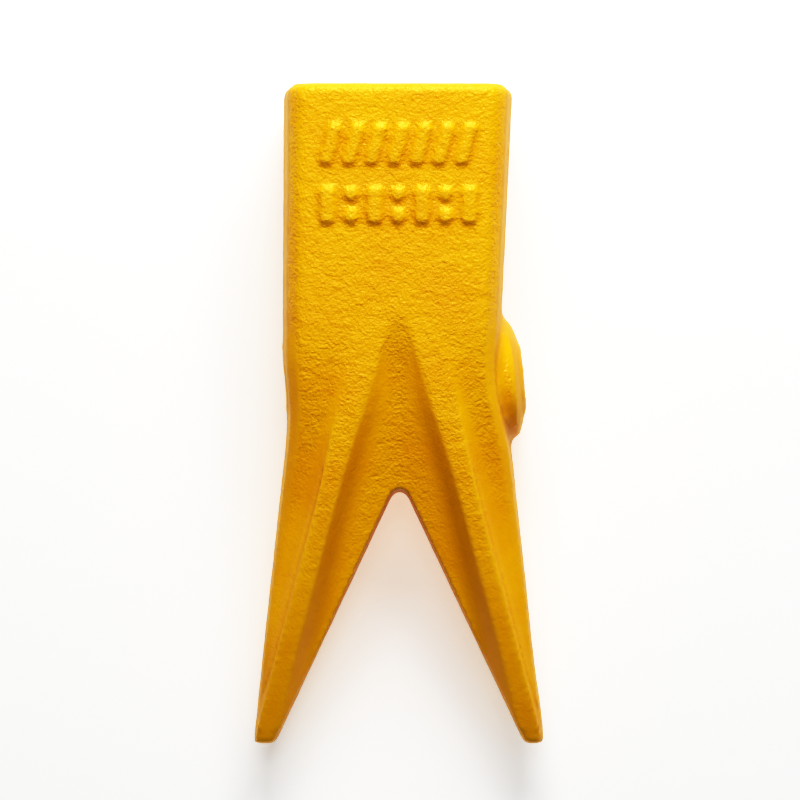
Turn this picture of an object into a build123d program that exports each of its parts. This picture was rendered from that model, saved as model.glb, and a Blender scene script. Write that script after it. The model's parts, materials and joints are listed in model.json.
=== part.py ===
from build123d import *
import math
import os

# Twin-point bucket tooth: a cast tip with its cross pin and spring retainer, in millimetres.
# Design frame: X across the tooth, Y towards the socket mouth, Z up, origin on the pin axis
# at the middle of the tooth. The casting is alike above and below its parting plane, z = 0.

# Lengths along the tooth
MOUTH_Y = 99.8
NOSE_Y = 21.0
CROTCH_Y = -38.6
TIP_Y = -125.2

# Box round the socket
MOUTH_HALF_HEIGHT = 36.0
DECK_SLOPE = 0.07
MOUTH_HALF_WIDTH = 39.4
NOSE_HALF_WIDTH_RIGHT = 35.6
NOSE_HALF_WIDTH_LEFT = 39.8
SHOULDER_RADIUS = 4.5
RIM_RADIUS = 3.0
DRAFT = 0.044

# Twin points
WAIST_Y = -14.0
WAIST_HALF_WIDTH = 37.8
WAIST_BLEND = (8.0, -24.0)
TIP_HALF_WIDTH = 49.9
RIDGE_STRAIGHT_Y = 0.0
RIDGE_CURVE = 0.0009
RIB_START_X = 8.1
RIB_END_X = 46.2
RIB_HALF_WIDTH = 5.4
RIB_TIP_HALF_WIDTH = 3.2
RIB_TAPER = (NOSE_Y, -45.0)
RIB_INNER_RUN = 5.4
RIB_OUTER_RUN = 2.2

# Outer flanks: height beside the rib and at the edge, as shares of the rib height: from, to and where
FLANK_ROOT = (1.0, 0.74, NOSE_Y, -66.0)
FLANK_EDGE = (1.0, 0.61, NOSE_Y, -68.0)

# Valley between the ribs: how fast it deepens past the box, and the share of that beside the ribs
VALLEY_SLOPE = 0.22
VALLEY_ROOT = 0.76

# Stations of the smooth front half, from the box to the tips
STATIONS = (NOSE_Y, 12.0, 3.0, -6.0, WAIST_Y, -25.0, CROTCH_Y, -55.0, -75.0, -100.0, TIP_Y)

# Gap between the points
GAP_X = 0.5
GAP_SLOPE = 0.472
GAP_RADIUS = 2.6
GAP_DRAFT_DEG = 2.5

# Socket
SOCKET_HALF_WIDTH = 27.0
SOCKET_HALF_HEIGHT = 26.5
SOCKET_FLOOR_Y = -26.0
SOCKET_FLOOR_HALF_WIDTH = 20.0
SOCKET_FLOOR_HALF_HEIGHT = 13.5
SOCKET_CORNER_RADIUS = 6.0
SOCKET_FLOOR_FILLET = 3.5
SOCKET_LEAD_IN = 1.5

# Ear over the retainer
EAR_RADIUS = 20.3
EAR_REACH = 44.2
EAR_DOME_RADIUS = 48.0
EAR_DOME_Y = -4.0
EAR_EDGE_RADIUS = 2.5

# Pin and retainer
PIN_RADIUS = 8.75
PIN_CLEARANCE = 0.15
PIN_LEFT_X = -36.0
PIN_RIGHT_X = 41.0
PIN_CHAMFER = 1.5
RING_THICKNESS = 6.0
RING_OUTER_RADIUS = 14.5
RING_CENTRE_X = 25.2
RING_GAP = 8.0
RING_CHAMFER = 0.7
GROOVE_RADIUS = 7.3
GROOVE_CLEARANCE = 0.1
GROOVE_SIDE_PLAY = 0.2
POCKET_CLEARANCE = 1.75
POCKET_SIDE_PLAY = 0.5

# Raised marks on the top of the box
MARK_RELIEF = 1.2
BAR_ROW_Y = 79.0
BAR_HEIGHT = 13.0
BAR_WIDTH = 4.0
BAR_SLANT = 3.5
BAR_PITCH = 7.6
BAR_COUNT = 7
PIP_ROW_Y = 58.5
PIP_HEIGHT = 11.6
PIP_WIDTH = 4.2
PIP_PITCH = 8.0
PIP_COUNT = 7
MARK_CORNER = 1.0

# The whole tooth is pitched so that the flat underside of the box lies level
PITCH_DEG = math.degrees(math.atan(DECK_SLOPE))


def ease(y, start, end):
    """0 before start, 1 past end, with a smooth turn at both."""
    share = (start - y) / (start - end)
    share = min(max(share, 0.0), 1.0)
    return share * share * (3.0 - 2.0 * share)


def mix(a, b, share):
    return a + (b - a) * share


def share_at(y, rule):
    """A share that eases from its first to its second value over a stretch along the tooth."""
    first, last, start, end = rule
    return mix(first, last, ease(y, start, end))


def deck_height(y):
    """Half height of the socket box."""
    return MOUTH_HALF_HEIGHT - DECK_SLOPE * (MOUTH_Y - y)


def ridge_height(y):
    """Height of the rib tops, which curve down towards the tips."""
    past = max(RIDGE_STRAIGHT_Y - y, 0.0)
    return deck_height(y) - RIDGE_CURVE * past * past


def valley_depth(y):
    """Depth of the valley below the rib tops, which never reaches the parting plane."""
    fall = VALLEY_SLOPE * max(NOSE_Y - y, 0.0)
    return ridge_height(y) * fall / (ridge_height(y) + fall)


def half_width(y, side):
    """Half width at the parting plane on the right (side = 1) or the left (side = -1)."""
    nose = NOSE_HALF_WIDTH_RIGHT if side > 0 else NOSE_HALF_WIDTH_LEFT
    if y >= NOSE_Y:
        return mix(nose, MOUTH_HALF_WIDTH, (y - NOSE_Y) / (MOUTH_Y - NOSE_Y))
    slope = (TIP_HALF_WIDTH - WAIST_HALF_WIDTH) / (WAIST_Y - TIP_Y)
    straight = WAIST_HALF_WIDTH + slope * (WAIST_Y - y)
    box_line = nose - (MOUTH_HALF_WIDTH - nose) / (MOUTH_Y - NOSE_Y) * (NOSE_Y - y)
    return mix(box_line, straight, ease(y, *WAIST_BLEND))


def section(y):
    """Closed outline of the casting at a station y: valley, ribs and flanks, above and below."""
    top = {}
    fall = ease(y, NOSE_Y, WAIST_Y)
    rib_x = mix(RIB_START_X, RIB_END_X, max(NOSE_Y - y, 0.0) / (NOSE_Y - TIP_Y))
    rib_half = mix(RIB_HALF_WIDTH, RIB_TIP_HALF_WIDTH, ease(y, *RIB_TAPER))
    inner = rib_x - rib_half
    outer = rib_x + rib_half
    ridge = ridge_height(y)
    depth = valley_depth(y)
    edge_z = ridge * share_at(y, FLANK_EDGE)
    for side in (1, -1):
        edge = half_width(y, side)
        reach = edge - outer
        outer_run = min(RIB_OUTER_RUN, 0.4 * reach)
        radius = mix(SHOULDER_RADIUS, 0.2 * reach, fall)
        top[side] = [
            (max(inner - RIB_INNER_RUN, 0.5 * inner), ridge - VALLEY_ROOT * depth),
            (inner, ridge),
            (outer, ridge),
            (outer + outer_run, ridge * share_at(y, FLANK_ROOT)),
            (edge - DRAFT * edge_z - radius, edge_z),
            (edge - DRAFT * edge_z, edge_z - radius),
            (edge, 0.0),
        ]
    right = top[1]
    left = top[-1]
    points = [(0.0, ridge - depth)] + right
    points += [(x, -z) for x, z in reversed(right[:-1])]
    points += [(0.0, depth - ridge)]
    points += [(-x, -z) for x, z in left]
    points += [(-x, z) for x, z in reversed(left[:-1])]
    outline = Polyline(*[(x, y, z) for x, z in points], close=True)
    return Face(Wire(outline.edges()))


def box_body():
    """Straight-sided box round the socket, with its mouth rim rounded."""
    body = loft([section(NOSE_Y), section(MOUTH_Y)], ruled=True)
    rim = body.edges().filter_by_position(Axis.Y, MOUTH_Y - 0.01, MOUTH_Y + 0.01)
    return fillet(rim, RIM_RADIUS)


def points_body():
    """Front half of the casting, one smooth skin from the box to both tips."""
    return loft([section(y) for y in STATIONS])


def gap_outline():
    """Plan of the gap between the points: two straight sides tangent to a round crotch."""
    centre_y = CROTCH_Y - GAP_RADIUS
    turn = math.atan(GAP_SLOPE)
    touch_x = GAP_RADIUS * math.cos(turn)
    touch_y = centre_y + GAP_RADIUS * math.sin(turn)
    end_y = TIP_Y - 10.0
    end_x = touch_x + GAP_SLOPE * (touch_y - end_y)
    crotch = ThreePointArc((-touch_x, touch_y), (0, CROTCH_Y), (touch_x, touch_y))
    right = Line((touch_x, touch_y), (end_x, end_y))
    back = Line((end_x, end_y), (-end_x, end_y))
    left = Line((-end_x, end_y), (-touch_x, touch_y))
    return Pos(GAP_X, 0, 0) * make_face([crotch, right, back, left])


def gap_cutter():
    """Drafted cutter for the gap, narrowest at the parting plane."""
    outline = gap_outline()
    up = extrude(outline, amount=MOUTH_HALF_HEIGHT, taper=-GAP_DRAFT_DEG)
    return up + mirror(up, about=Plane.XY)


def ear():
    """Round boss on the right wall over the retainer, with a domed outer face."""
    boss = across(EAR_RADIUS, NOSE_HALF_WIDTH_RIGHT - 6.0, EAR_REACH + 1.0)
    dome = Pos(EAR_REACH - EAR_DOME_RADIUS, EAR_DOME_Y, 0) * Sphere(EAR_DOME_RADIUS)
    boss = boss & dome
    rim = boss.faces().sort_by(Axis.X)[-1].edges()
    return fillet(rim, EAR_EDGE_RADIUS)


def socket_size(y):
    """Half width and half height of the tapered socket at a station y."""
    share = (MOUTH_Y - y) / (MOUTH_Y - SOCKET_FLOOR_Y)
    wide = mix(SOCKET_HALF_WIDTH, SOCKET_FLOOR_HALF_WIDTH, share)
    high = mix(SOCKET_HALF_HEIGHT, SOCKET_FLOOR_HALF_HEIGHT, share)
    return wide, high


def socket_plane(y):
    return Plane(origin=(0, y, 0), x_dir=(1, 0, 0), z_dir=(0, -1, 0))


def socket_cutter():
    """Tapered square socket with round corners, a round floor edge and a lead-in at the mouth."""
    over = 10.0
    wide, high = socket_size(MOUTH_Y + over)
    mouth = socket_plane(MOUTH_Y + over) * RectangleRounded(2 * wide, 2 * high, SOCKET_CORNER_RADIUS)
    wide, high = socket_size(SOCKET_FLOOR_Y)
    floor = socket_plane(SOCKET_FLOOR_Y) * RectangleRounded(2 * wide, 2 * high, SOCKET_CORNER_RADIUS)
    hollow = loft([mouth, floor], ruled=True)
    floor_face = hollow.faces().sort_by(Axis.Y)[0]
    hollow = fillet(floor_face.edges(), SOCKET_FLOOR_FILLET)
    wide, high = socket_size(MOUTH_Y)
    step = SOCKET_LEAD_IN
    outer = RectangleRounded(2 * (wide + step), 2 * (high + step), SOCKET_CORNER_RADIUS + step)
    inner = RectangleRounded(2 * wide, 2 * high, SOCKET_CORNER_RADIUS)
    lead_in = loft([socket_plane(MOUTH_Y) * outer, socket_plane(MOUTH_Y - step) * inner], ruled=True)
    return hollow + lead_in


def across(radius, x_start, x_end):
    """Round bar along the pin axis from x_start to x_end."""
    bar = Cylinder(radius, x_end - x_start, align=(Align.CENTER, Align.CENTER, Align.MIN))
    return Pos(x_start, 0, 0) * Rot(0, 90, 0) * bar


def pocket_cutter():
    """Round pocket in the right socket wall that the retainer ring sits in."""
    floor_x = RING_CENTRE_X + 0.5 * RING_THICKNESS + POCKET_SIDE_PLAY
    return across(RING_OUTER_RADIUS + POCKET_CLEARANCE, SOCKET_FLOOR_HALF_WIDTH - 3.0, floor_x)


def mark_plane(x, y):
    """Plane on the sloping top of the box."""
    return Plane(origin=(x, y, deck_height(y)), x_dir=(1, 0, 0), z_dir=(0, -DECK_SLOPE, 1))


def bar_mark(x):
    half = 0.5 * BAR_WIDTH
    low = -0.5 * BAR_HEIGHT
    high = 0.5 * BAR_HEIGHT
    corners = [
        (-half - 0.5 * BAR_SLANT, low),
        (half - 0.5 * BAR_SLANT, low),
        (half + 0.5 * BAR_SLANT, high),
        (-half + 0.5 * BAR_SLANT, high),
    ]
    shape = fillet(Polygon(*corners, align=None).vertices(), MARK_CORNER)
    return extrude(mark_plane(x, BAR_ROW_Y) * shape, amount=MARK_RELIEF, both=True)


def pip_mark(x, paired):
    """One tall pip, or a pair of round ones in the same height."""
    if paired:
        step = 0.5 * (PIP_HEIGHT - PIP_WIDTH)
        shape = Pos(0, step) * Circle(0.5 * PIP_WIDTH) + Pos(0, -step) * Circle(0.5 * PIP_WIDTH)
    else:
        shape = RectangleRounded(PIP_WIDTH, PIP_HEIGHT, MARK_CORNER)
    return extrude(mark_plane(x, PIP_ROW_Y) * shape, amount=MARK_RELIEF, both=True)


def marks():
    """Two rows of plain raised marks on the top of the box."""
    row = [bar_mark((i - 0.5 * (BAR_COUNT - 1)) * BAR_PITCH) for i in range(BAR_COUNT)]
    row += [pip_mark((i - 0.5 * (PIP_COUNT - 1)) * PIP_PITCH, i % 2 == 1) for i in range(PIP_COUNT)]
    return row


def tip_casting():
    body = box_body() + points_body()
    body = body - gap_cutter()
    body = body + ear()
    for mark in marks():
        body = body + mark
    body = body - socket_cutter()
    body = body - pocket_cutter()
    return body - across(PIN_RADIUS + PIN_CLEARANCE, -2 * TIP_HALF_WIDTH, 2 * TIP_HALF_WIDTH)


def locking_pin():
    """Straight round pin with chamfered ends and a groove for the retainer."""
    pin = across(PIN_RADIUS, PIN_LEFT_X, PIN_RIGHT_X)
    pin = chamfer(pin.edges().filter_by(GeomType.CIRCLE), PIN_CHAMFER)
    half = 0.5 * RING_THICKNESS + GROOVE_SIDE_PLAY
    groove = across(2 * PIN_RADIUS, RING_CENTRE_X - half, RING_CENTRE_X + half)
    groove -= across(GROOVE_RADIUS, RING_CENTRE_X - half, RING_CENTRE_X + half)
    return pin - groove


def retainer_ring():
    """C-shaped spring ring, open towards the socket floor."""
    left = RING_CENTRE_X - 0.5 * RING_THICKNESS
    right = RING_CENTRE_X + 0.5 * RING_THICKNESS
    ring = across(RING_OUTER_RADIUS, left, right) - across(GROOVE_RADIUS + GROOVE_CLEARANCE, left, right)
    ring = chamfer(ring.edges().filter_by(GeomType.CIRCLE), RING_CHAMFER)
    opening = Box(2 * RING_THICKNESS, 2 * RING_OUTER_RADIUS, RING_GAP)
    return ring - Pos(RING_CENTRE_X, -RING_OUTER_RADIUS, 0) * opening


def main():
    os.makedirs("parts", exist_ok=True)
    nodes = {
        "tip_casting": tip_casting(),
        "locking_pin": locking_pin(),
        "retainer_ring": retainer_ring(),
    }
    for name, shape in nodes.items():
        export_step(Rot(PITCH_DEG, 0, 0) * shape, f"parts/{name}.step")


main()
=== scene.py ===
# %% [markdown]
# # A twin-point bucket tooth
#
# The real thing is one heavy steel casting, painted yellow, with a square socket at one end and two
# ribbed points at the other. A cross pin and a spring ring hide inside it and hold it on its adapter.
#
# The measured solids come first, as a fixed frame: every piece made here takes its place from them.

# %% Load the frame
import bpy
import json
import math
import numpy as np
from mathutils import Matrix, Vector


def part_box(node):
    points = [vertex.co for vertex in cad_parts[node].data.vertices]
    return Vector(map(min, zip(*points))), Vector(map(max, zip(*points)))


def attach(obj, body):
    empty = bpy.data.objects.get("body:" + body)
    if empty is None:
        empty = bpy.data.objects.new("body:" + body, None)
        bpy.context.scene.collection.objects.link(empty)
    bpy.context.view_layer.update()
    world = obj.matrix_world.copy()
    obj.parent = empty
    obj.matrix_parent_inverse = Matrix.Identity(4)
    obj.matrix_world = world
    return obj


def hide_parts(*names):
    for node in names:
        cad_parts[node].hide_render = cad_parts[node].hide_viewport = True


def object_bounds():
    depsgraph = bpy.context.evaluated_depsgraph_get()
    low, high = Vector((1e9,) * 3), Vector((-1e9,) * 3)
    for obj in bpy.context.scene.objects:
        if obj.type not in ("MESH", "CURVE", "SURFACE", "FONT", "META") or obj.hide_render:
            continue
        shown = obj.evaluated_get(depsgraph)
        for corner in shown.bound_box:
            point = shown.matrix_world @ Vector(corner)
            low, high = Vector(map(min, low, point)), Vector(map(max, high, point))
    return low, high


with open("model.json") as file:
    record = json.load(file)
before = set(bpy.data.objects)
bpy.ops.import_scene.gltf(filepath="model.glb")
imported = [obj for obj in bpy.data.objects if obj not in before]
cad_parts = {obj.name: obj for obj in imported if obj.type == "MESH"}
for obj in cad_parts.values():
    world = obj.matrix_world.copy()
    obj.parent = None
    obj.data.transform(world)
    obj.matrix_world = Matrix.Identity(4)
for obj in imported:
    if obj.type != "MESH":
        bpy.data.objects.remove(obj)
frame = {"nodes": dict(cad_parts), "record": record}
CAD_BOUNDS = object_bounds()
MM = 0.001

mounts = {mount["name"]: mount for mount in frame["record"]["mounts"]}

# %% [markdown]
# The tooth lies with the underside of its box level, so the casting's own middle plane is pitched by a
# few degrees. The socket's mount carries that direction. Working along the casting's own axes makes
# every rule below simple: across, along, and above or below the parting plane.

# %% The casting's own axes
socket_out = Vector(mounts["socket"]["axis"]).normalized()
PITCH = math.atan2(socket_out.z, socket_out.y)
TO_ROW = np.array(Matrix.Rotation(PITCH, 3, "X"))


def own(points):
    """Row frame to the casting's own axes, in millimetres."""
    return points @ TO_ROW / MM


def row(points):
    """The casting's own axes in millimetres, back to the row frame."""
    return points @ TO_ROW.T * MM


MOUTH_Y = own(np.array(mounts["socket"]["pos_m"]))[1]
PIN_RADIUS = mounts["adapter_pin"]["dims"]["r_mm"]
PIN_LOW = np.array(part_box("locking_pin")[0]) / MM
PIN_HIGH = np.array(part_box("locking_pin")[1]) / MM
RING_LOW = np.array(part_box("retainer_ring")[0]) / MM
RING_HIGH = np.array(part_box("retainer_ring")[1]) / MM
print(f"pitch {math.degrees(PITCH):.2f} degrees, mouth at {MOUTH_Y:.1f} mm, pin radius {PIN_RADIUS} mm")

# %% [markdown]
# ## Camera
#
# A catalogue shot looks straight down on the casting's parting plane, from far away, so that the two
# points stay parallel to the picture and nothing looms. A long lens on a distant camera does that.

# %% Camera above the parting plane
FRAME_HEIGHT_MM = 271.6
CAMERA_DISTANCE = 2.4
LENS_MM = 100.0
LOOK_AT_MM = (0.6, -7.4, 20.0)

camera_data = bpy.data.cameras.new("camera")
camera = bpy.data.objects.new("camera", camera_data)
bpy.context.scene.collection.objects.link(camera)
bpy.context.scene.camera = camera
camera_data.lens = LENS_MM
camera_data.sensor_width = LENS_MM * FRAME_HEIGHT_MM * MM / CAMERA_DISTANCE
camera_data.clip_end = 20.0
look_at = Vector(row(np.array(LOOK_AT_MM)))
away = Vector(row(np.array((0.0, 0.0, 1.0)))).normalized()
camera.matrix_world = Matrix.Translation(look_at + away * CAMERA_DISTANCE) @ Matrix.Rotation(PITCH, 4, "X")
print("camera at", [round(v, 3) for v in camera.matrix_world.translation])

# %% [markdown]
# ## The casting's skin
#
# Sand casting leaves no sharp edge: the pattern has fillets, the sand rounds what is left, and blasting
# and paint soften it again. Filleting every edge by hand would leave seams where fillets meet, so the
# solid is turned into an even net of small faces first, and the net is then relaxed: edges melt into
# rounds and hollows fill, as in the real mould.

# %% An even net of faces over the solid
VOXEL_MM = 0.89


def plain_copy(source, name):
    """A welded copy of a node's mesh, as an object of its own."""
    mesh = source.data.copy()
    mesh.name = name
    mesh.materials.clear()
    piece = bpy.data.objects.new(name, mesh)
    bpy.context.scene.collection.objects.link(piece)
    weld = piece.modifiers.new("weld", "WELD")
    weld.merge_threshold = 1e-6
    return piece


def apply_modifiers(piece):
    """Bake the modifiers of a piece into its mesh."""
    shown = piece.evaluated_get(bpy.context.evaluated_depsgraph_get())
    mesh = bpy.data.meshes.new_from_object(shown)
    piece.modifiers.clear()
    piece.data = mesh
    return piece


casting = plain_copy(frame["nodes"]["tip_casting"], "casting_skin")
remesh = casting.modifiers.new("net", "REMESH")
remesh.mode = "VOXEL"
remesh.voxel_size = VOXEL_MM * MM
apply_modifiers(casting)
print("net:", len(casting.data.vertices), "points")

# %% [markdown]
# Relaxing a net moves each point towards the middle of its neighbours. How far it may go is a weight
# per point: full on the bare casting, less on its crisp raised marks, and none in the cross hole and
# the ring's pocket, where the pin and the ring have to fit.

# %% Where the skin may relax
def points_of(mesh):
    flat = np.empty(len(mesh.vertices) * 3)
    mesh.vertices.foreach_get("co", flat)
    return flat.reshape(-1, 3)


def normals_of(mesh):
    flat = np.empty(len(mesh.vertices) * 3)
    mesh.vertices.foreach_get("normal", flat)
    return flat.reshape(-1, 3)


def rise(value, start, end):
    """0 before start, 1 past end, with a smooth turn at both."""
    share = np.clip((value - start) / (end - start), 0.0, 1.0)
    return share * share * (3.0 - 2.0 * share)


MARKS_Y = (50.0, 88.0)
MARKS_HALF_WIDTH = 31.0
MARK_FLOOR_Z = 30.0
BORE_CLEARANCE_MM = 0.15
POCKET_CLEARANCE_MM = 1.75
BORE_RADIUS = PIN_RADIUS + BORE_CLEARANCE_MM
POCKET_RADIUS = RING_HIGH[2] + POCKET_CLEARANCE_MM
POCKET_X = (18.0, RING_HIGH[0] + 1.4)
NEAR_WALL_MM = 0.9
NEAR_HOLE_MM = (1.0, 4.0)
HELD_NEAR_HOLE = 0.6
FREE_ON_MARKS = 0.2

at = own(points_of(casting.data))
facing = normals_of(casting.data) @ TO_ROW
from_pin = np.hypot(at[:, 1], at[:, 2])
towards_pin = -(facing[:, 1] * at[:, 1] + facing[:, 2] * at[:, 2]) / np.maximum(from_pin, 0.1)
in_bore = (np.abs(from_pin - BORE_RADIUS) < NEAR_WALL_MM) & (towards_pin > 0.6)
in_pocket = (from_pin < POCKET_RADIUS + NEAR_WALL_MM) & (at[:, 0] > POCKET_X[0]) & (at[:, 0] < POCKET_X[1])
near_hole = 1.0 - rise(from_pin, BORE_RADIUS + NEAR_HOLE_MM[0], BORE_RADIUS + NEAR_HOLE_MM[1])
on_marks = (at[:, 1] > MARKS_Y[0]) & (at[:, 1] < MARKS_Y[1]) & (np.abs(at[:, 0]) < MARKS_HALF_WIDTH)
on_marks &= at[:, 2] > MARK_FLOOR_Z
free = np.where(in_bore | in_pocket, 0.0, 1.0) * (1.0 - HELD_NEAR_HOLE * near_hole)
free *= np.where(on_marks, FREE_ON_MARKS, 1.0)
print(f"{in_bore.sum()} points in the cross hole, {in_pocket.sum()} in the pocket")
print(f"{on_marks.sum()} points round the marks")

# %% [markdown]
# Each pass spreads an edge's rounding by about half a face width, so the number of passes is worked out
# from the radius wanted. A light pass breaks the outer edges. Then only the hollows are relaxed
# further: they fill up to the generous fillets of a foundry pattern, and the rib tops stay flat. The
# shoulders of the box and the two tips are rounder on the pattern, so they get a pass each.

# %% Relax the net
EDGE_BREAK_MM = 0.75
FILLET_MM = 3.4
FINISH_MM = 0.5
TIP_ROUND_MM = 2.6
TIP_START_Y = -119.0
TIP_BLEND_MM = 3.0
CURVED_MM = (0.02, 0.2)
SHOULDER_ROUND_MM = 2.4
SHOULDER_X = (29.0, 33.0)
SHOULDER_Y = (-10.0, 15.0)


def relax(points, edges, weight, radius_mm):
    """Even out points over about radius_mm, each by its own weight."""
    passes = int(round((radius_mm / VOXEL_MM) ** 2 * 2.0))
    count = len(points)
    degree = np.bincount(edges.ravel(), minlength=count)[:, None]
    step = 0.5 * weight[:, None]
    for _ in range(passes):
        total = np.empty_like(points)
        for axis in range(3):
            near = np.bincount(edges[:, 0], points[edges[:, 1], axis], count)
            total[:, axis] = near + np.bincount(edges[:, 1], points[edges[:, 0], axis], count)
        points = points + step * (total / degree - points)
    return points


def set_points(mesh, points):
    """Move a mesh's points to places in the casting's own axes."""
    mesh.vertices.foreach_set("co", row(points).ravel())
    mesh.update()


def hollow_depth(mesh, points, edges, radius_mm):
    """How far below its surroundings each point lies: plus in hollows, minus on edges, in mm."""
    moved = relax(points, edges, np.ones(len(points)), radius_mm) - points
    return np.einsum("ij,ij->i", moved, normals_of(mesh) @ TO_ROW)


edge_list = np.empty(len(casting.data.edges) * 2, dtype=np.int64)
casting.data.edges.foreach_get("vertices", edge_list)
edge_list = edge_list.reshape(-1, 2)

relaxed = relax(at, edge_list, free, EDGE_BREAK_MM)
set_points(casting.data, relaxed)
depth = hollow_depth(casting.data, relaxed, edge_list, FILLET_MM)
filling = rise(depth, *CURVED_MM) * free * np.where(on_marks, 0.0, 1.0)
relaxed = relax(relaxed, edge_list, filling, FILLET_MM)
shoulders = rise(-depth, *CURVED_MM) * rise(np.abs(relaxed[:, 0]), *SHOULDER_X)
shoulders *= rise(relaxed[:, 1], *SHOULDER_Y) * free
relaxed = relax(relaxed, edge_list, shoulders, SHOULDER_ROUND_MM)
tips = rise(-relaxed[:, 1], -TIP_START_Y, TIP_BLEND_MM - TIP_START_Y)
relaxed = relax(relaxed, edge_list, tips, TIP_ROUND_MM)
relaxed = relax(relaxed, edge_list, free, FINISH_MM)
print(f"length after relaxing {np.ptp(relaxed[:, 1]):.1f} mm, before {np.ptp(at[:, 1]):.1f} mm")

# %% [markdown]
# The two halves of the mould never close perfectly, so a low flash line runs round the casting on its
# parting plane. It is ground down after casting and stays as a soft ridge. Here the side walls are
# taken back a little everywhere but on that plane.

# %% Parting line
FLASH_HEIGHT_MM = 0.35
FLASH_HALF_WIDTH_MM = 0.9
SIDE_FACING = 0.5
SOCKET_END_Y = -30.0

set_points(casting.data, relaxed)
skin_normals = normals_of(casting.data) @ TO_ROW
on_side = np.abs(skin_normals[:, 2]) < SIDE_FACING
outward = skin_normals[:, 0] * np.sign(relaxed[:, 0]) > 0.3
past_socket = relaxed[:, 1] < SOCKET_END_Y
on_wall = on_side & (outward | past_socket) & (from_pin > BORE_RADIUS + NEAR_HOLE_MM[1])
beside_line = 1.0 - np.exp(-((relaxed[:, 2] / FLASH_HALF_WIDTH_MM) ** 2))
relaxed -= skin_normals * (FLASH_HEIGHT_MM * beside_line * on_wall)[:, None]
relaxed = relax(relaxed, edge_list, free * np.where(on_side, 0.5, 0.0), FINISH_MM)

# %% [markdown]
# The pin has to pass the cross hole, so its wall may lose nothing to the smoothing. The net's points on
# that wall go back to the solid's own radius.

# %% Bring the cross hole back to its true radius
bore_scale = BORE_RADIUS / np.maximum(from_pin, 0.1)
for axis in (1, 2):
    relaxed[:, axis] = np.where(in_bore, at[:, axis] * bore_scale, relaxed[:, axis])
set_points(casting.data, relaxed)

# %% [markdown]
# Painted shade darkens the hollows and a painted highlight lightens the edges, and the spray gun
# reaches only the first part of the socket. The sand's grain is coarse on the flats of the box and fades
# out on the smoother flanks and points. All three are kept as attributes of the skin, for its material
# to read. A fourth, cast, marks where the surface is as poured: 1 everywhere but round the holes.

# %% Attributes for the paint
HOLLOW_RADIUS_MM = 3.0
HOLLOW_FULL_MM = 0.45
SOCKET_MOUTH_HALF = 27.0
SOCKET_DEPTH = 125.8
SOCKET_TAPER = (7.0 / SOCKET_DEPTH, 13.0 / SOCKET_DEPTH)
SOCKET_WALL_MM = 1.0
SOCKET_FLOOR_Y = -28.0
SPRAY_REACH_MM = (14.0, 34.0)
COARSE_FACING_POINTS = (0.9, 0.985)
COARSE_FACING_BOX = (0.4, 0.8)
BOX_Y = (0.0, 30.0)
COARSE_Y = (-95.0, -15.0)
SMOOTH_SHARE = 0.25


def store(mesh, name, values):
    layer = mesh.attributes.new(name, "FLOAT", "POINT")
    layer.data.foreach_set("value", values.astype(np.float32))


# This measure only drives painted shade in hollows and a painted highlight on edges, in the paint's
# colour.
painted_shade_and_highlight = hollow_depth(casting.data, relaxed, edge_list, HOLLOW_RADIUS_MM) / HOLLOW_FULL_MM
store(casting.data, "painted_shade_and_highlight", np.clip(painted_shade_and_highlight, -1.0, 1.0))
into = MOUTH_Y - relaxed[:, 1]
inside_x = SOCKET_MOUTH_HALF + SOCKET_WALL_MM - SOCKET_TAPER[0] * into - np.abs(relaxed[:, 0])
inside_z = SOCKET_MOUTH_HALF + SOCKET_WALL_MM - SOCKET_TAPER[1] * into - np.abs(relaxed[:, 2])
in_socket = (inside_x > 0.0) & (inside_z > 0.0) & (relaxed[:, 1] > SOCKET_FLOOR_Y)
in_holes = (towards_pin > 0.3) & (from_pin < POCKET_RADIUS + 0.5) & (np.abs(relaxed[:, 0]) < 30.0)
bare = np.where(in_socket, rise(into, *SPRAY_REACH_MM), 0.0)
store(casting.data, "bare", np.where(in_holes, 1.0, bare))
store(casting.data, "cast", np.where(in_pocket, 0.0, 1.0 - near_hole * (towards_pin > -0.5)))
skin_facing = np.abs((normals_of(casting.data) @ TO_ROW)[:, 2])
on_box = rise(relaxed[:, 1], *BOX_Y)
facing_limits = [
    point + (box - point) * on_box for point, box in zip(COARSE_FACING_POINTS, COARSE_FACING_BOX)
]
coarse = rise(skin_facing, *facing_limits) * rise(relaxed[:, 1], *COARSE_Y)
store(casting.data, "coarse", SMOOTH_SHARE + (1.0 - SMOOTH_SHARE) * coarse)
print(f"hollow from {painted_shade_and_highlight.min():.2f} to {painted_shade_and_highlight.max():.2f}, {in_socket.sum()} points in the socket")

# %% [markdown]
# ## The cast surface
#
# Steel poured in sand keeps a slow waviness and shallow wrinkles where the metal froze against the
# mould. They are part of the shape, so Geometry Nodes push the net's points along their normals by a
# noise pattern. The push only goes inwards, so the casting never outgrows its measured size.

# %% A tree builder
def add(tree, kind, settings=None, links=None, **values):
    """A node of that kind. settings are its properties; values and links fill its sockets by name."""
    node = tree.nodes.new(kind)
    for key, value in (settings or {}).items():
        setattr(node, key, value)
    for key, value in values.items():
        node.inputs[key.replace("_", " ")].default_value = value
    for key, source in (links or {}).items():
        tree.links.new(source, node.inputs[key])
    return node


def new_group(name, inputs):
    """A Geometry Nodes tree with a geometry in and out, and named number inputs."""
    tree = bpy.data.node_groups.new(name, "GeometryNodeTree")
    tree.interface.new_socket("Geometry", in_out="INPUT", socket_type="NodeSocketGeometry")
    for label, kind, value in inputs:
        socket = tree.interface.new_socket(label, in_out="INPUT", socket_type="NodeSocket" + kind)
        socket.default_value = value
    tree.interface.new_socket("Geometry", in_out="OUTPUT", socket_type="NodeSocketGeometry")
    return tree, tree.nodes.new("NodeGroupInput"), tree.nodes.new("NodeGroupOutput")


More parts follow.
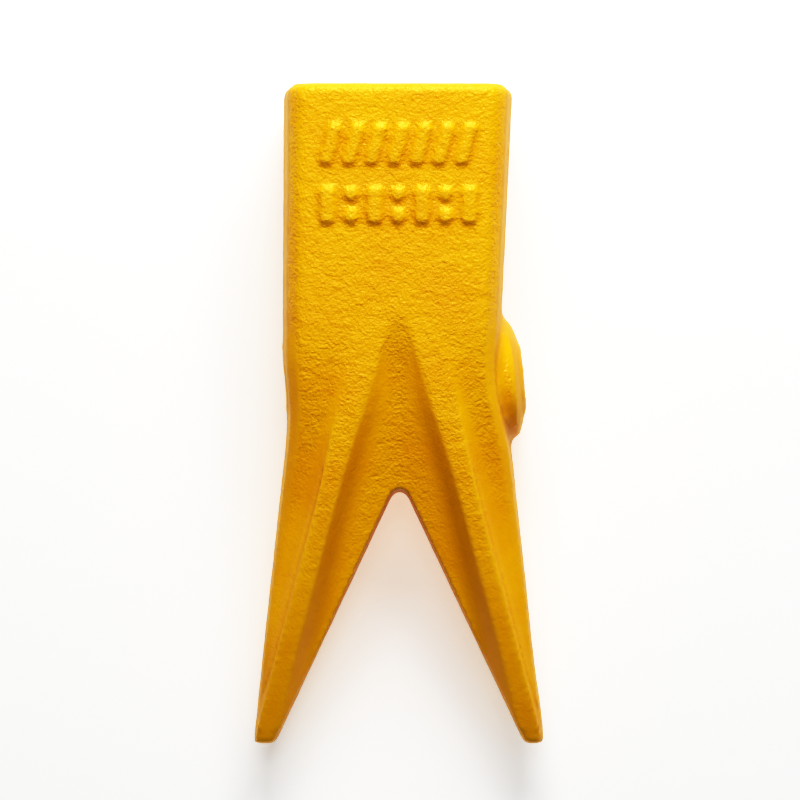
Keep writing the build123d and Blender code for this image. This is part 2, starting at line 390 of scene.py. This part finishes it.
def run_group(piece, tree, **values):
    """Run a tree on a piece with its inputs set, and keep the result as a plain mesh."""
    modifier = piece.modifiers.new(tree.name, "NODES")
    modifier.node_group = tree
    for item in tree.interface.items_tree:
        if item.in_out == "INPUT" and item.name in values:
            modifier[item.identifier] = values[item.name]
    return apply_modifiers(piece)

# %% The cast surface tree
GN_VECTOR_MATH = "ShaderNodeVectorMath"
GN_MATH = "ShaderNodeMath"
WAVE_SIZE_MM = 16.0
WAVE_DEPTH_MM = 0.22
WRINKLE_SIZE_MM = 5.0
WRINKLE_DEPTH_MM = 0.12
WRINKLE_TWIST = 1.4
PATTERN_SEED = 3.0


def cast_surface_tree():
    """Pushes the net inwards along its normals by slow waves and finer wrinkles."""
    tree, inside, outside = new_group("cast_surface", [
        ("Wave Size", "Float", WAVE_SIZE_MM * MM),
        ("Wave Depth", "Float", WAVE_DEPTH_MM * MM),
        ("Wrinkle Size", "Float", WRINKLE_SIZE_MM * MM),
        ("Wrinkle Depth", "Float", WRINKLE_DEPTH_MM * MM),
        ("Seed", "Float", PATTERN_SEED),
        ("Material", "Material", None),
    ])
    heights = []
    patterns = (("Wave Size", "Wave Depth", 0.0), ("Wrinkle Size", "Wrinkle Depth", WRINKLE_TWIST))
    for size, depth, distortion in patterns:
        scale = add(tree, GN_MATH, {"operation": "DIVIDE"}, {1: inside.outputs[size]})
        scale.inputs[0].default_value = 1.0
        pattern = add(tree, "ShaderNodeTexNoise", {"noise_dimensions": "4D"},
                      {"W": inside.outputs["Seed"], "Scale": scale.outputs[0]},
                      Detail=2.0, Distortion=distortion)
        heights.append(add(tree, GN_MATH, {"operation": "MULTIPLY"},
                           {0: pattern.outputs[0], 1: inside.outputs[depth]}))
    total = add(tree, GN_MATH, {"operation": "ADD"},
                {0: heights[0].outputs[0], 1: heights[1].outputs[0]})
    cast = add(tree, "GeometryNodeInputNamedAttribute", Name="cast")
    masked = add(tree, GN_MATH, {"operation": "MULTIPLY"},
                 {0: total.outputs[0], 1: cast.outputs["Attribute"]})
    inwards = add(tree, GN_MATH, {"operation": "MULTIPLY"}, {0: masked.outputs[0]})
    inwards.inputs[1].default_value = -1.0
    normal = add(tree, "GeometryNodeInputNormal")
    push = add(tree, GN_VECTOR_MATH, {"operation": "SCALE"},
               {"Vector": normal.outputs[0], "Scale": inwards.outputs[0]})
    moved_skin = add(tree, "GeometryNodeSetPosition", None,
                     {"Geometry": inside.outputs["Geometry"], "Offset": push.outputs[0]})
    smooth = add(tree, "GeometryNodeSetShadeSmooth", None, {"Geometry": moved_skin.outputs[0]})
    real = add(tree, "GeometryNodeRealizeInstances", None, {"Geometry": smooth.outputs[0]})
    painted = add(tree, "GeometryNodeSetMaterial", None,
                  {"Geometry": real.outputs[0], "Material": inside.outputs["Material"]})
    tree.links.new(painted.outputs[0], outside.inputs[0])
    return tree


# %% [markdown]
# ## Materials
#
# Each colour is written as it looks on screen and turned to linear light by one function. A pattern's
# scale is the number of its features in a metre, so it comes from a size in millimetres.

# %% Colour and material helpers
def colour(code):
    """An sRGB hex colour as linear RGBA."""
    parts = [int(code[i:i + 2], 16) / 255.0 for i in (1, 3, 5)]
    linear = [c / 12.92 if c <= 0.04045 else ((c + 0.055) / 1.055) ** 2.4 for c in parts]
    return (*linear, 1.0)


def per_metre(size_mm):
    return 1.0 / (size_mm * MM)


def new_material(name):
    """A material with a bare Principled shader. Returns it with its tree, shader and object position."""
    material = bpy.data.materials.new(name)
    material.use_nodes = True
    tree = material.node_tree
    shader = tree.nodes["Principled BSDF"]
    place = tree.nodes.new("ShaderNodeTexCoord").outputs["Object"]
    return material, tree, shader, place


def noise(tree, place, size_mm, detail=2.0, distortion=0.0):
    """A noise pattern of that feature size, 0 to 1."""
    node = add(tree, "ShaderNodeTexNoise", None, {"Vector": place},
               Scale=per_metre(size_mm), Detail=detail, Distortion=distortion)
    return node.outputs["Fac"]


def blend_colours(tree, share, low, high):
    """A colour between two, by share. low and high are colours or sockets."""
    node = add(tree, "ShaderNodeMix", {"data_type": "RGBA"}, {0: share})
    for index, value in ((6, low), (7, high)):
        if isinstance(value, tuple):
            node.inputs[index].default_value = value
        else:
            tree.links.new(value, node.inputs[index])
    return node.outputs[2]


def stretch(tree, value, low, high, to_low=0.0, to_high=1.0):
    """value moved from low..high to to_low..to_high, and held inside it."""
    node = add(tree, "ShaderNodeMapRange", None, {0: value})
    for index, number in enumerate((low, high, to_low, to_high), start=1):
        node.inputs[index].default_value = number
    return node.outputs[0]


def bump(tree, height, depth_mm, below=None, strength=None):
    """A bump of that depth, laid over another bump. strength is a socket that fades it."""
    links = {"Height": height, "Normal": below, "Strength": strength}
    links = {key: source for key, source in links.items() if source is not None}
    return add(tree, "ShaderNodeBump", None, links, Distance=depth_mm * MM).outputs[0]


# %% [markdown]
# The casting is blasted clean and sprayed with one coat of yellow alkyd enamel. The enamel is thin, so
# the sand's grain shows through it as soft glossy bumps: lumps of a few millimetres with grains of one
# on them. Its colour carries painted shade, deeper and redder in hollows, and a painted highlight, paler
# over edges. The gun is held above, so steep walls catch only the dry edge of its cloud and are dull.
# Deep in the socket the grey-brown skin of the bare casting is left.

# %% Yellow enamel over cast steel
LUMP_MM = 3.2
LUMP_DEPTH_MM = 0.42
GRAIN_MM = 1.0
GRAIN_DEPTH_MM = 0.34
PEEL_MM = 0.6
PEEL_DEPTH_MM = 0.06
PAINT_LIGHT = colour("#f7b500")
PAINT_DEEP = colour("#f2ab00")
# Painted shade: the deeper, redder colour laid into hollows.
PAINTED_SHADE_IN_HOLLOWS = colour("#de9600")
# Painted highlight: the paler colour laid over edges.
PAINTED_EDGE_HIGHLIGHT = colour("#f8c018")
PAINT_GLINT = colour("#ffc860")
BARE_STEEL = colour("#4a3f38")
BARE_RUST = colour("#6b4a34")


def enamel_on_cast_steel():
    material, tree, shader, place = new_material("yellow_enamel_on_cast_steel")
    patchy = stretch(tree, noise(tree, place, 22.0, 3.0), 0.35, 0.65)
    paint = blend_colours(tree, patchy, PAINT_LIGHT, PAINT_DEEP)
    painted_shade_and_highlight_at = add(tree, "ShaderNodeAttribute", {"attribute_name": "painted_shade_and_highlight"}).outputs["Fac"]
    # Painted shade: the colour turns deeper and redder in the hollows.
    paint = blend_colours(tree, stretch(tree, painted_shade_and_highlight_at, 0.15, 1.0, 0.0, 0.55), paint, PAINTED_SHADE_IN_HOLLOWS)
    # Painted highlight: the colour turns paler over the edges.
    paint = blend_colours(tree, stretch(tree, painted_shade_and_highlight_at, -0.3, -1.0, 0.0, 0.3), paint, PAINTED_EDGE_HIGHLIGHT)
    bare_at = add(tree, "ShaderNodeAttribute", {"attribute_name": "bare"}).outputs["Fac"]
    speckle = noise(tree, place, 3.0, 4.0)
    edge_of_spray = add(tree, "ShaderNodeMath", {"operation": "ADD"}, {0: bare_at, 1: speckle}).outputs[0]
    unpainted = stretch(tree, edge_of_spray, 0.85, 1.15)
    steel = blend_colours(tree, noise(tree, place, 12.0, 4.0), BARE_STEEL, BARE_RUST)
    tree.links.new(blend_colours(tree, unpainted, paint, steel), shader.inputs["Base Color"])
    coarse_at = add(tree, "ShaderNodeAttribute", {"attribute_name": "coarse"}).outputs["Fac"]
    relief = None
    for size_mm, depth_mm, twist in ((LUMP_MM, LUMP_DEPTH_MM, 0.6), (GRAIN_MM, GRAIN_DEPTH_MM, 0.2)):
        relief = bump(tree, noise(tree, place, size_mm, 2.0, twist), depth_mm, relief, coarse_at)
    relief = bump(tree, noise(tree, place, PEEL_MM, 1.0), PEEL_DEPTH_MM, relief)
    tree.links.new(relief, shader.inputs["Normal"])
    gloss = stretch(tree, noise(tree, place, 9.0, 2.0), 0.3, 0.7, 0.18, 0.28)
    dull = stretch(tree, coarse_at, SMOOTH_SHARE, 0.8, 0.25, 0.0)
    rough = stretch(tree, unpainted, 0.0, 1.0, 0.0, 0.3)
    total = add(tree, "ShaderNodeMath", {"operation": "ADD"}, {0: gloss, 1: rough}).outputs[0]
    total = add(tree, "ShaderNodeMath", {"operation": "ADD"}, {0: total, 1: dull}).outputs[0]
    tree.links.new(total, shader.inputs["Roughness"])
    sheen = stretch(tree, coarse_at, SMOOTH_SHARE, 0.8, 0.1, 0.8)
    tree.links.new(sheen, shader.inputs["Specular IOR Level"])
    shader.inputs["Specular Tint"].default_value = PAINT_GLINT
    return material


# %% [markdown]
# Nobody looks closely into the socket, so its even net is thinned there to stay a light model. Round
# the pin and the ring it stays as it is, because thinned faces would cut into them.

# %% Thin the net inside the socket
FACES_WANTED = 194000
hidden = casting.vertex_groups.new(name="hidden")
thinned = in_socket & (from_pin > POCKET_RADIUS + 2.0)
hidden.add(np.flatnonzero(thinned).tolist(), 1.0, "REPLACE")
thin = casting.modifiers.new("thin", "DECIMATE")
thin.vertex_group = "hidden"
thin.ratio = FACES_WANTED / (2.0 * len(casting.data.polygons))
enamel = enamel_on_cast_steel()
casting = run_group(casting, cast_surface_tree(), Material=enamel)
casting.data.calc_loop_triangles()
print("casting:", len(casting.data.loop_triangles), "triangles,", list(casting.data.attributes.keys()))
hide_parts("tip_casting")
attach(casting, "tip")

# %% [markdown]
# ## The cross pin
#
# The pin is turned from bar: a chamfer at each end, a groove for the ring, and the small cone that the
# lathe's centre leaves in each end face. A turned part is a profile spun round its axis, so it is made
# the same way here, from a list of (place along the pin, radius).

# %% The pin's profile, spun
GROOVE_RADIUS = 7.3
GROOVE_PLAY = 0.2
GROOVE_CORNER = 0.4
PIN_CHAMFER = 1.5
CENTRE_RADIUS = 2.0
CENTRE_DEPTH = 2.4
SPIN_STEPS = 96


def pin_profile():
    """Points along the pin, in mm, from one end's centre hole to the other's."""
    left, right = PIN_LOW[0], PIN_HIGH[0]
    groove_left = RING_LOW[0] - GROOVE_PLAY
    groove_right = RING_HIGH[0] + GROOVE_PLAY
    start = [(left + CENTRE_DEPTH, 0.0), (left, CENTRE_RADIUS), (left, PIN_RADIUS - PIN_CHAMFER)]
    start += [(left + 0.25, PIN_RADIUS - PIN_CHAMFER + 0.15), (left + PIN_CHAMFER, PIN_RADIUS)]
    middle = [(groove_left - GROOVE_CORNER, PIN_RADIUS), (groove_left, PIN_RADIUS - GROOVE_CORNER)]
    middle += [(groove_left, GROOVE_RADIUS + GROOVE_CORNER), (groove_left + GROOVE_CORNER, GROOVE_RADIUS)]
    middle += [(groove_left + groove_right - x, radius) for x, radius in reversed(middle)]
    return start + middle + [(left + right - x, radius) for x, radius in reversed(start)]


def spun(name, profile):
    """A closed mesh from a profile turned about the pin axis."""
    points = []
    faces = []
    rings = []
    for x, radius in profile:
        steps = SPIN_STEPS if radius > 0.0 else 1
        rings.append(list(range(len(points), len(points) + steps)))
        for i in range(steps):
            turn = 2.0 * math.pi * i / steps
            points.append((x * MM, radius * math.cos(turn) * MM, radius * math.sin(turn) * MM))
    for near, far in zip(rings, rings[1:]):
        for i in range(SPIN_STEPS):
            j = (i + 1) % SPIN_STEPS
            corners = [near[i % len(near)], near[j % len(near)], far[j % len(far)], far[i % len(far)]]
            faces.append(tuple(dict.fromkeys(corners)))
    mesh = bpy.data.meshes.new(name)
    mesh.from_pydata(points, [], faces)
    mesh.validate()
    piece = bpy.data.objects.new(name, mesh)
    bpy.context.scene.collection.objects.link(piece)
    return piece


pin = spun("turned_pin", pin_profile())
pin.data.shade_smooth()
pin.data.set_sharp_from_angle(angle=math.radians(25.0))
print("pin:", len(pin.data.polygons), "faces")

# %% [markdown]
# The pin is quench-hardened in oil, which leaves a dark brown-grey skin, polished through to steel where
# the ring and the bores rub. The lathe's feed marks run round it, a few to the millimetre.

# %% Oil-quenched turned steel
FEED_MARK_MM = 0.35
QUENCHED = colour("#5b5550")
POLISHED = colour("#a9a49c")


def quenched_steel():
    material, tree, shader, place = new_material("oil_quenched_turned_steel")
    stains = noise(tree, place, 7.0, 5.0, 0.5)
    tree.links.new(blend_colours(tree, stretch(tree, stains, 0.4, 0.7), QUENCHED, POLISHED),
                   shader.inputs["Base Color"])
    along = add(tree, "ShaderNodeMapping", None, {"Vector": place})
    along.inputs["Scale"].default_value = (1.0, 0.02, 0.02)
    marks = noise(tree, along.outputs[0], FEED_MARK_MM, 1.0)
    tree.links.new(bump(tree, marks, 0.02), shader.inputs["Normal"])
    tree.links.new(stretch(tree, stains, 0.3, 0.7, 0.5, 0.3), shader.inputs["Roughness"])
    shader.inputs["Metallic"].default_value = 1.0
    return material


pin.data.materials.append(quenched_steel())
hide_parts("locking_pin")
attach(pin, "pin")

# %% [markdown]
# ## The spring ring
#
# The retainer is a C bent from flat spring stock, with rounded edges. That is a path with a section:
# Geometry Nodes sweep a rounded rectangle along an arc, and the gap is what the arc leaves open.

# %% The ring tree
RING_GAP_MM = 8.0
RING_CORNER_MM = 0.7
RING_STEPS = 96


def spring_ring_tree():
    """A rounded rectangle swept along an open arc in the YZ plane."""
    tree, inside, outside = new_group("spring_ring", [
        ("Mean Radius", "Float", 0.011),
        ("Radial Width", "Float", 0.007),
        ("Thickness", "Float", 0.006),
        ("Corner", "Float", RING_CORNER_MM * MM),
        ("Gap Angle", "Float", 0.7),
        ("Centre X", "Float", 0.0),
        ("Steps", "Int", RING_STEPS),
        ("Material", "Material", None),
    ])
    sweep = add(tree, GN_MATH, {"operation": "SUBTRACT"}, {1: inside.outputs["Gap Angle"]})
    sweep.inputs[0].default_value = 2.0 * math.pi
    start = add(tree, GN_MATH, {"operation": "MULTIPLY"}, {0: inside.outputs["Gap Angle"]})
    start.inputs[1].default_value = 0.5
    arc = add(tree, "GeometryNodeCurveArc", {"mode": "RADIUS"},
              {"Resolution": inside.outputs["Steps"], "Radius": inside.outputs["Mean Radius"],
               "Start Angle": start.outputs[0], "Sweep Angle": sweep.outputs[0]})
    section = add(tree, "GeometryNodeCurvePrimitiveQuadrilateral", {"mode": "RECTANGLE"},
                  {"Width": inside.outputs["Radial Width"], "Height": inside.outputs["Thickness"]})
    rounded = add(tree, "GeometryNodeFilletCurve", {"mode": "POLY"},
                  {"Curve": section.outputs[0], "Radius": inside.outputs["Corner"]}, Count=4)
    swept = add(tree, "GeometryNodeCurveToMesh", None,
                {"Curve": arc.outputs["Curve"], "Profile Curve": rounded.outputs[0]}, Fill_Caps=True)
    across = add(tree, "ShaderNodeCombineXYZ", None, {"X": inside.outputs["Centre X"]})
    upright = Matrix.Rotation(PITCH, 3, "X") @ Matrix(((0, 0, -1), (-1, 0, 0), (0, 1, 0)))
    turned = add(tree, "GeometryNodeTransform", None,
                 {"Geometry": swept.outputs[0], "Translation": across.outputs[0]})
    turned.inputs["Rotation"].default_value = upright.to_euler()
    real = add(tree, "GeometryNodeRealizeInstances", None, {"Geometry": turned.outputs[0]})
    finished = add(tree, "GeometryNodeSetMaterial", None,
                   {"Geometry": real.outputs[0], "Material": inside.outputs["Material"]})
    tree.links.new(finished.outputs[0], outside.inputs[0])
    return tree

# %% [markdown]
# Spring steel is coiled black from the furnace and tempered: a blue-black oxide with a low sheen. The
# ring rubs bright along its edges, so the oxide is broken by paler patches.

# %% Blued spring steel
OXIDE = colour("#2b3038")
OXIDE_WORN = colour("#6d7278")


def blued_steel():
    material, tree, shader, place = new_material("blued_spring_steel")
    worn = stretch(tree, noise(tree, place, 3.0, 5.0, 0.6), 0.55, 0.75)
    tree.links.new(blend_colours(tree, worn, OXIDE, OXIDE_WORN), shader.inputs["Base Color"])
    tree.links.new(bump(tree, noise(tree, place, 0.6, 2.0), 0.03), shader.inputs["Normal"])
    tree.links.new(stretch(tree, worn, 0.0, 1.0, 0.42, 0.3), shader.inputs["Roughness"])
    shader.inputs["Metallic"].default_value = 1.0
    return material


# %% Sweep the ring
ring_inner = GROOVE_RADIUS + 0.1
ring_outer = RING_HIGH[2]
ring_mean = 0.5 * (ring_inner + ring_outer)
ring = bpy.data.objects.new("spring_ring", bpy.data.meshes.new("spring_ring"))
bpy.context.scene.collection.objects.link(ring)
ring = run_group(
    ring, spring_ring_tree(),
    **{
        "Mean Radius": ring_mean * MM,
        "Radial Width": (ring_outer - ring_inner) * MM,
        "Thickness": (RING_HIGH[0] - RING_LOW[0]) * MM,
        "Gap Angle": 2.0 * math.asin(0.5 * RING_GAP_MM / ring_mean),
        "Centre X": 0.5 * (RING_LOW[0] + RING_HIGH[0]) * MM,
        "Material": blued_steel(),
    },
)
ring.data.set_sharp_from_angle(angle=math.radians(50.0))
ring_points = points_of(ring.data) / MM
print("ring:", len(ring.data.polygons), "faces from", ring_points.min(0), "to", ring_points.max(0))
print("ring solid: from", RING_LOW, "to", RING_HIGH)
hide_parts("retainer_ring")
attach(ring, "retainer")

# %% [markdown]
# ## The stage
#
# A pale floor under the tooth, a wide soft light from beyond the mouth, and a weaker one from above.

# %% Floor and lights
FLOOR_SIZE = 3.0
FLOOR_GLOW = 0.45
WORLD_LIGHT = 0.15
KEY_WATTS = 7.6
KEY_PLACE = (0.06, 0.53, 0.5)
KEY_SIZE = 0.42
TOP_WATTS = 2.0
TOP_PLACE = (0.0, 0.15, 1.2)
TOP_SIZE = 0.3

floor_mesh = bpy.data.meshes.new("floor")
half = FLOOR_SIZE / 2
floor_z = CAD_BOUNDS[0][2]
corners = [(-half, -half, floor_z), (half, -half, floor_z), (half, half, floor_z), (-half, half, floor_z)]
floor_mesh.from_pydata(corners, [], [(0, 1, 2, 3)])
floor = bpy.data.objects.new("floor", floor_mesh)
bpy.context.scene.collection.objects.link(floor)
floor_paint, floor_tree, floor_shader, _ = new_material("white_paper")
floor_shader.inputs["Base Color"].default_value = colour("#f2f2f0")
floor_shader.inputs["Roughness"].default_value = 0.9
floor_shader.inputs["Emission Color"].default_value = (1.0, 1.0, 1.0, 1.0)
floor_shader.inputs["Emission Strength"].default_value = FLOOR_GLOW
floor.data.materials.append(floor_paint)


def soft_light(name, place, size, watts):
    """A square soft light that faces the tooth."""
    data = bpy.data.lights.new(name, "AREA")
    data.size = size
    data.energy = watts
    light = bpy.data.objects.new(name, data)
    bpy.context.scene.collection.objects.link(light)
    light.location = place
    light.rotation_euler = (-Vector(place)).to_track_quat("-Z", "Y").to_euler()
    return light


soft_light("key", KEY_PLACE, KEY_SIZE, KEY_WATTS)
soft_light("top", TOP_PLACE, TOP_SIZE, TOP_WATTS)
world = bpy.data.worlds.new("studio")
world.use_nodes = True
world.node_tree.nodes["Background"].inputs["Strength"].default_value = WORLD_LIGHT
world.node_tree.nodes["Background"].inputs["Color"].default_value = (1.0, 1.0, 1.0, 1.0)
bpy.context.scene.world = world

# %% [markdown]
# Such even light looks flat in a straight view. A tone curve like that of print film deepens the shadows
# and holds the brightest yellow below white. The curve was tuned together with the lights, and they
# belong together.

# %% Film response
FILM_WHITE = 1.5
FILM_RESPONSE = ((0.15, 0.133), (0.32, 0.437), (0.667, 0.863))

view_settings = bpy.context.scene.view_settings
view_settings.view_transform = "Standard"
view_settings.use_curve_mapping = True
film = view_settings.curve_mapping
film.white_level = (FILM_WHITE, FILM_WHITE, FILM_WHITE)
for light, level in FILM_RESPONSE:
    film.curves[3].points.new(light, level)
film.update()
